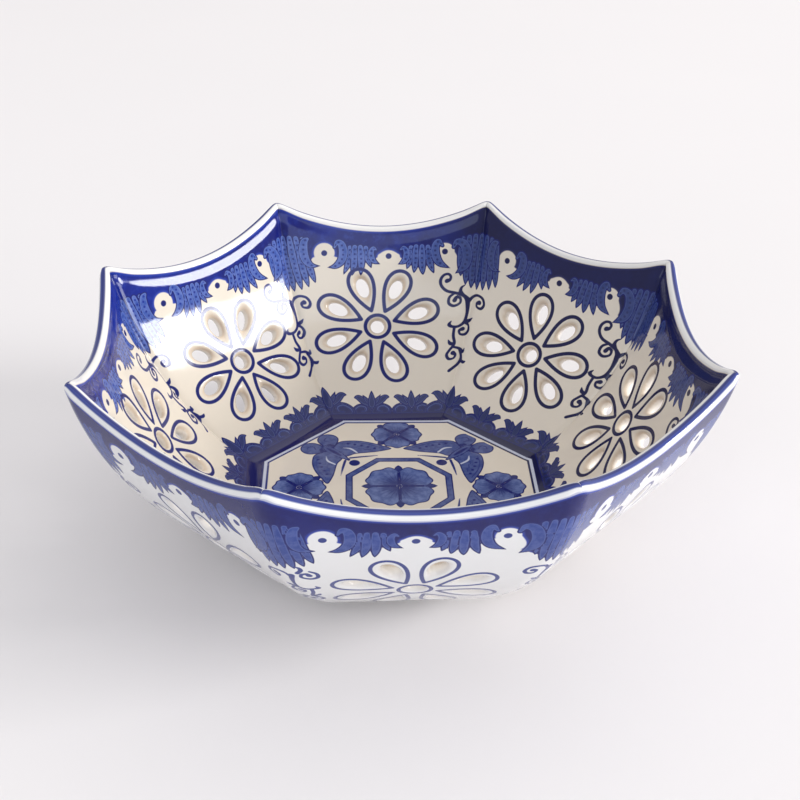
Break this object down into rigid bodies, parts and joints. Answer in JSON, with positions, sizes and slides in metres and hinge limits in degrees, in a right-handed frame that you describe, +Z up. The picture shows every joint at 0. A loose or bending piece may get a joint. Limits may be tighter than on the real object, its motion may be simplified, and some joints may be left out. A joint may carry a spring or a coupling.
{
  "type": "serving bowl",
  "caption": "Octagonal openwork porcelain serving bowl with outward-swelling pierced wall panels, a scalloped rim drawn up to rounded tips, a flat floor and a low foot ring.",
  "frame": {"origin": "centre of the foot ring's resting face", "axes": "+Z up along the bowl's axis, -Y towards the middle of a wall panel"},
  "size_m": [0.2018, 0.2018, 0.0791],
  "materials": {
    "wall_glaze": "clear gloss glaze over white porcelain painted in cobalt blue",
    "floor_glaze": "clear gloss glaze over white porcelain painted in cobalt blue",
    "foot_clay": "clear gloss glaze, with a bare matt resting face"
  },
  "bodies": {
    "root": {"wall_panel_1": "wall_glaze", "wall_panel_2": "wall_glaze", "wall_panel_3": "wall_glaze", "wall_panel_4": "wall_glaze", "wall_panel_5": "wall_glaze", "wall_panel_6": "wall_glaze", "wall_panel_7": "wall_glaze", "wall_panel_8": "wall_glaze", "floor": "floor_glaze", "foot_ring": "foot_clay"}
  },
  "joints": []
}
